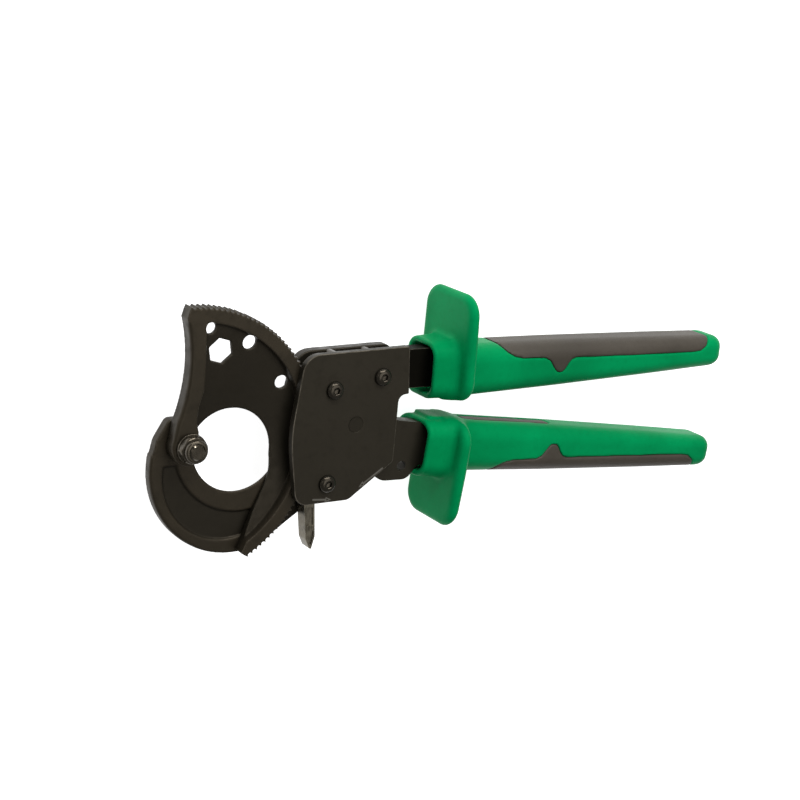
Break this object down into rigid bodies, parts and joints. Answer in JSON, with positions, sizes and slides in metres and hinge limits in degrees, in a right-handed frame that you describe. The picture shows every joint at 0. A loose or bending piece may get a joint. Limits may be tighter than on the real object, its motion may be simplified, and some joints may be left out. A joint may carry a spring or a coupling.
{
  "type": "ratcheting cable cutter",
  "caption": "Hand ratchet cutter for copper and aluminium cable: a toothed sector blade closes on a hooked fixed blade, driven by squeezing guarded grips; a small lever frees it.",
  "frame": {"origin": "under the middle of the tool, on the plane that it lies on (lower edges of the two guards)", "axes": "+X along the tool from the blades to the grips, +Y towards the fixed grip, +Z out of the front plate"},
  "size_m": [0.2604, 0.0996, 0.035],
  "materials": {
    "blade_steel": "blackened, satin",
    "plate_steel": "blackened, satin",
    "pivot_steel": "blackened, slightly glossy",
    "fastener_steel": "blackened",
    "spring_steel": "drawn wire",
    "bare_steel": "bare, brushed",
    "grip_moulding": "semi-gloss moulded green",
    "grip_cover": "matt soft-touch"
  },
  "bodies": {
    "frame": {"fixed_blade": "blade_steel", "front_plate": "plate_steel", "handle_tang": "plate_steel", "blade_pivot_bolt": "pivot_steel", "pivot_bush": "pivot_steel", "pivot_washer": "pivot_steel", "pivot_lock_nut": "pivot_steel", "frame_screws": "fastener_steel", "frame_nuts": "fastener_steel", "frame_spacers": "fastener_steel", "release_pivot_sleeve": "fastener_steel", "lever_pivot_pin": "plate_steel", "holding_pawl_spring": "spring_steel", "fixed_grip": "grip_moulding", "fixed_grip_cover": "grip_cover", "fixed_grip_pad": "grip_cover"},
    "cutting_blade": {"movable_blade": "blade_steel"},
    "moving_handle": {"handle_lever": "plate_steel", "drive_pawl_pin": "pivot_steel", "drive_pawl_spring": "spring_steel", "moving_grip": "grip_moulding", "moving_grip_cover": "grip_cover", "moving_grip_pad": "grip_cover"},
    "driver": {"drive_pawl": "blade_steel"},
    "release": {"holding_pawl": "blade_steel", "release_lever": "bare_steel", "release_rivet": "bare_steel"}
  },
  "joints": [
    {"name": "blade_pivot", "type": "hinge", "parent": "frame", "child": "cutting_blade", "pos_m": [-0.11764, -0.00516, 0.0185], "axis": [0, 0, 1], "range_deg": [-92, 95]},
    {"name": "handle_pivot", "type": "hinge", "parent": "frame", "child": "moving_handle", "pos_m": [-0.05084, -0.00006, 0.0185], "axis": [0, 0, 1], "range_deg": [-22, 7]},
    {"name": "drive_pawl_pivot", "type": "hinge", "parent": "moving_handle", "child": "driver", "pos_m": [-0.05884, 0.00434, 0.0185], "axis": [0, 0, 1], "range_deg": [0, 14], "stiffness_Nm_per_rad": 0.02, "springref_deg": -11.46},
    {"name": "release_pivot", "type": "hinge", "parent": "frame", "child": "release", "pos_m": [-0.06144, -0.02246, 0.0185], "axis": [0, 0, 1], "range_deg": [0, 12], "stiffness_Nm_per_rad": 0.05, "springref_deg": -11.46}
  ]
}
